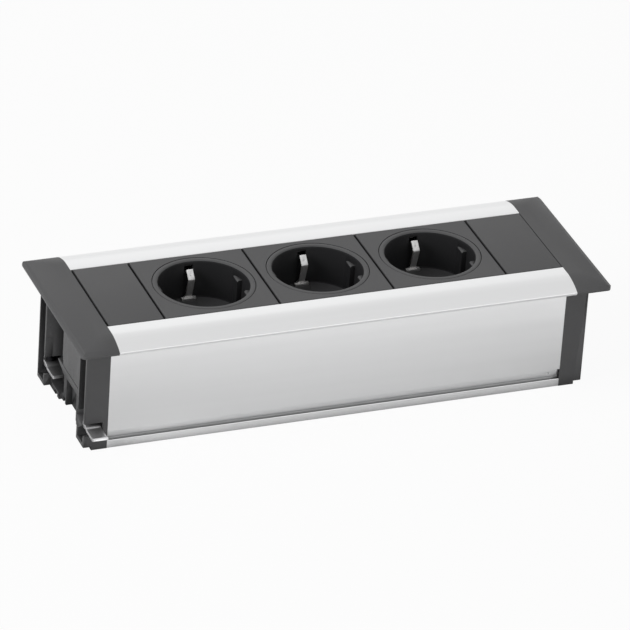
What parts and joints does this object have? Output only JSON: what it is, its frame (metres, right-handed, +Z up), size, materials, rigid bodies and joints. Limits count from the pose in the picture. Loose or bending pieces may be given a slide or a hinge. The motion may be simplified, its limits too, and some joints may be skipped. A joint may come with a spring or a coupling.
{
  "type": "in-desk power module",
  "caption": "Flush-mounting desk power module with round earthed sockets, plain aluminium sides and swinging clamp claws.",
  "frame": {"origin": "centre of the base, on the surface that the foot rails rest on", "axes": "+X along the module, +Z up, -Y towards the near long side"},
  "size_m": [0.24, 0.0844, 0.0556],
  "materials": {
    "aluminium": "satin anodised",
    "end_plastic": "fine moulded texture",
    "module_plastic": "fine moulded texture",
    "cup_plastic": "satin moulded",
    "base_plastic": "plain moulded",
    "cover_plastic": "plain moulded",
    "strap_steel": "nickel plated",
    "brass": "stamped",
    "pin_metal": "nickel plated",
    "claw_steel": "bright zinc plated",
    "dark_screw": "black zinc",
    "live_insulation": "satin",
    "neutral_insulation": "satin",
    "earth_insulation": "satin"
  },
  "bodies": {
    "housing": {"front_profile": "aluminium", "rear_profile": "aluminium", "left_end_body": "end_plastic", "right_end_body": "end_plastic", "left_end_cap": "end_plastic", "right_end_cap": "end_plastic", "left_blank": "module_plastic", "right_blank": "module_plastic", "socket_frame_1": "module_plastic", "socket_frame_2": "module_plastic", "socket_frame_3": "module_plastic", "socket_cup_1": "cup_plastic", "socket_cup_2": "cup_plastic", "socket_cup_3": "cup_plastic", "socket_base_1": "base_plastic", "socket_base_2": "base_plastic", "socket_base_3": "base_plastic", "inlet_housing": "base_plastic", "bottom_cover": "cover_plastic", "earth_strap_1": "strap_steel", "earth_strap_2": "strap_steel", "earth_strap_3": "strap_steel", "earth_busbar": "strap_steel", "live_busbar": "brass", "neutral_busbar": "brass", "inlet_pins": "pin_metal", "left_end_screws": "dark_screw", "right_end_screws": "dark_screw", "live_wire": "live_insulation", "neutral_wire": "neutral_insulation", "earth_wire": "earth_insulation"},
    "left_near_clamp": {"claw_left_near": "claw_steel", "clamp_screw_left_near": "dark_screw"},
    "left_far_clamp": {"claw_left_far": "claw_steel", "clamp_screw_left_far": "dark_screw"},
    "right_near_clamp": {"claw_right_near": "claw_steel", "clamp_screw_right_near": "dark_screw"},
    "right_far_clamp": {"claw_right_far": "claw_steel", "clamp_screw_right_far": "dark_screw"}
  },
  "joints": [
    {"name": "left_near_claw_swing", "type": "hinge", "parent": "housing", "child": "left_near_clamp", "pos_m": [-0.1093, -0.0268, 0.0116], "axis": [0, 0, -1], "range_deg": [0, 180]},
    {"name": "left_far_claw_swing", "type": "hinge", "parent": "housing", "child": "left_far_clamp", "pos_m": [-0.1093, 0.0268, 0.0116], "axis": [0, 0, -1], "range_deg": [0, 90]},
    {"name": "right_near_claw_swing", "type": "hinge", "parent": "housing", "child": "right_near_clamp", "pos_m": [0.1093, -0.0268, 0.0116], "axis": [0, 0, -1], "range_deg": [0, 90]},
    {"name": "right_far_claw_swing", "type": "hinge", "parent": "housing", "child": "right_far_clamp", "pos_m": [0.1093, 0.0268, 0.0116], "axis": [0, 0, -1], "range_deg": [0, 180]}
  ]
}
